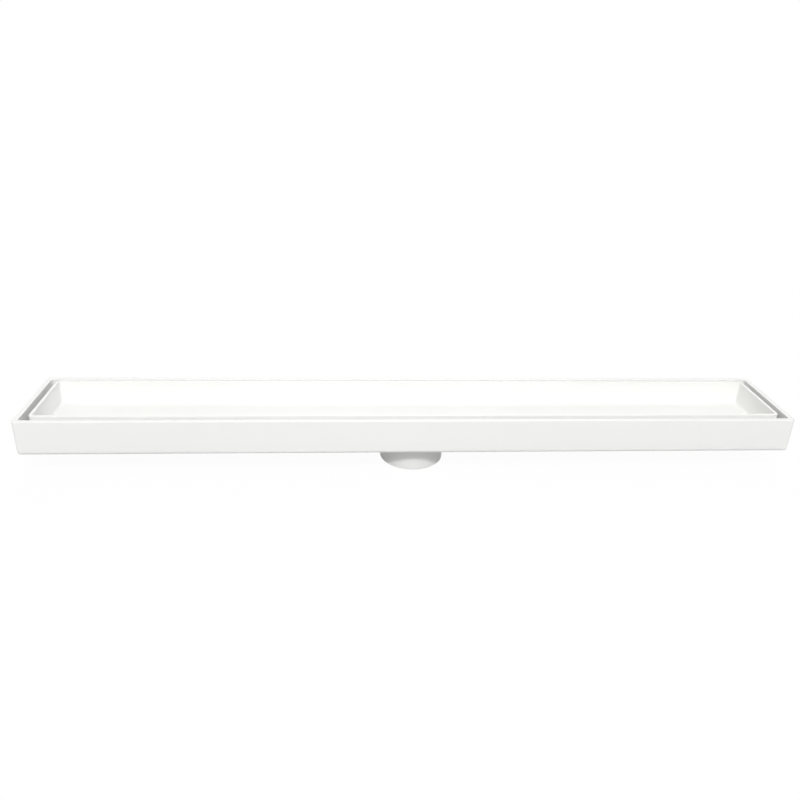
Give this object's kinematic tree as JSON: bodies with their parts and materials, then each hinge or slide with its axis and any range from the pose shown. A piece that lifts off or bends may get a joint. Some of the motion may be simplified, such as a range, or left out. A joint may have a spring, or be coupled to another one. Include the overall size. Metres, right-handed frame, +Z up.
{
  "type": "linear shower drain",
  "caption": "Long shower drain: a rectangular channel with a short round outlet under its middle, and a tile tray standing inside with a water slot all round.",
  "frame": {"origin": "on the surface the drain stands on, under the middle of the outlet", "axes": "+X along the drain, +Y across it, +Z up out of the finished floor"},
  "size_m": [0.61, 0.085, 0.0537],
  "materials": {
    "white_moulding": "satin",
    "foot_rubber": "matte"
  },
  "bodies": {
    "root": {"drain_channel": "white_moulding", "tile_tray": "white_moulding", "hair_strainer": "white_moulding", "tray_feet": "foot_rubber"}
  },
  "joints": []
}
